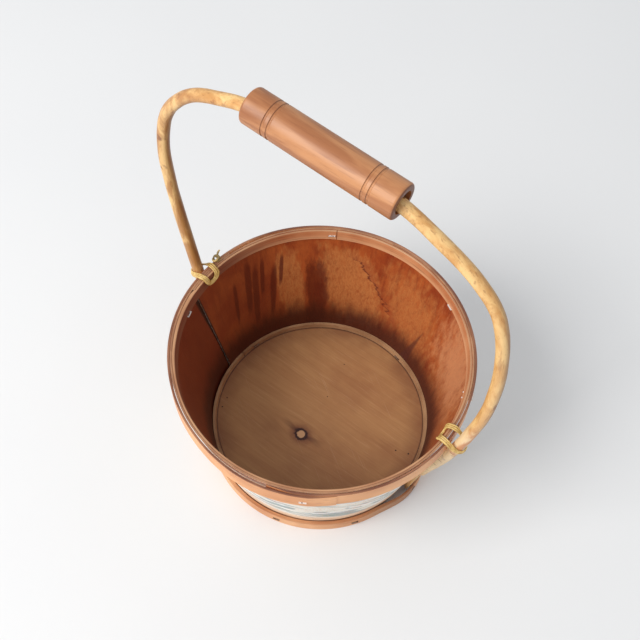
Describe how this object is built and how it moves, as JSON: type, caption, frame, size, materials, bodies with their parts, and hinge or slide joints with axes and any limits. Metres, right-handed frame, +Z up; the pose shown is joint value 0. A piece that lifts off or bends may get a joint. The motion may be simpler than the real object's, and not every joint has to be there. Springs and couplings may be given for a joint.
{
  "type": "sand bucket",
  "caption": "Small tapered bentwood bucket with a lapped veneer wall, hooped rim and base, and a fixed bow handle carrying a turned wooden grip that spins.",
  "frame": {"origin": "bottom centre of the bucket: the centre of the round ring it stands on, on the plane of that ring", "axes": "+Z up, away from the floor; the bow handle lies in the XZ plane with its feet at +X and -X; +Y towards the side away from the usual viewer"},
  "size_m": [0.2521, 0.2078, 0.3288],
  "materials": {
    "stained_veneer": "satin varnish, worn",
    "board_ply": "dull bare wood",
    "hoop_wood": "satin",
    "ring_wood": "dull bare wood",
    "peeled_rod": "satin, peeled",
    "turned_wood": "satin, handled",
    "cane": "glossy split cane",
    "staple_steel": "dull wire"
  },
  "bodies": {
    "bucket": {"wall": "stained_veneer", "bottom_board": "board_ply", "rim_hoop": "hoop_wood", "rim_lining": "hoop_wood", "base_hoop": "hoop_wood", "foot_ring": "ring_wood", "top_ring": "ring_wood", "handle_bow": "peeled_rod", "lashing_left": "cane", "lashing_right": "cane", "lashing_knot_left": "cane", "rim_staples": "staple_steel", "base_staples": "staple_steel", "top_ring_staples": "staple_steel", "foot_tacks": "staple_steel"},
    "grip": {"grip": "turned_wood"}
  },
  "joints": [
    {"name": "grip_spin", "type": "hinge", "parent": "bucket", "child": "grip", "pos_m": [-0.0035, 0, 0.3156], "axis": [0.9984, 0, -0.057], "continuous": true}
  ]
}
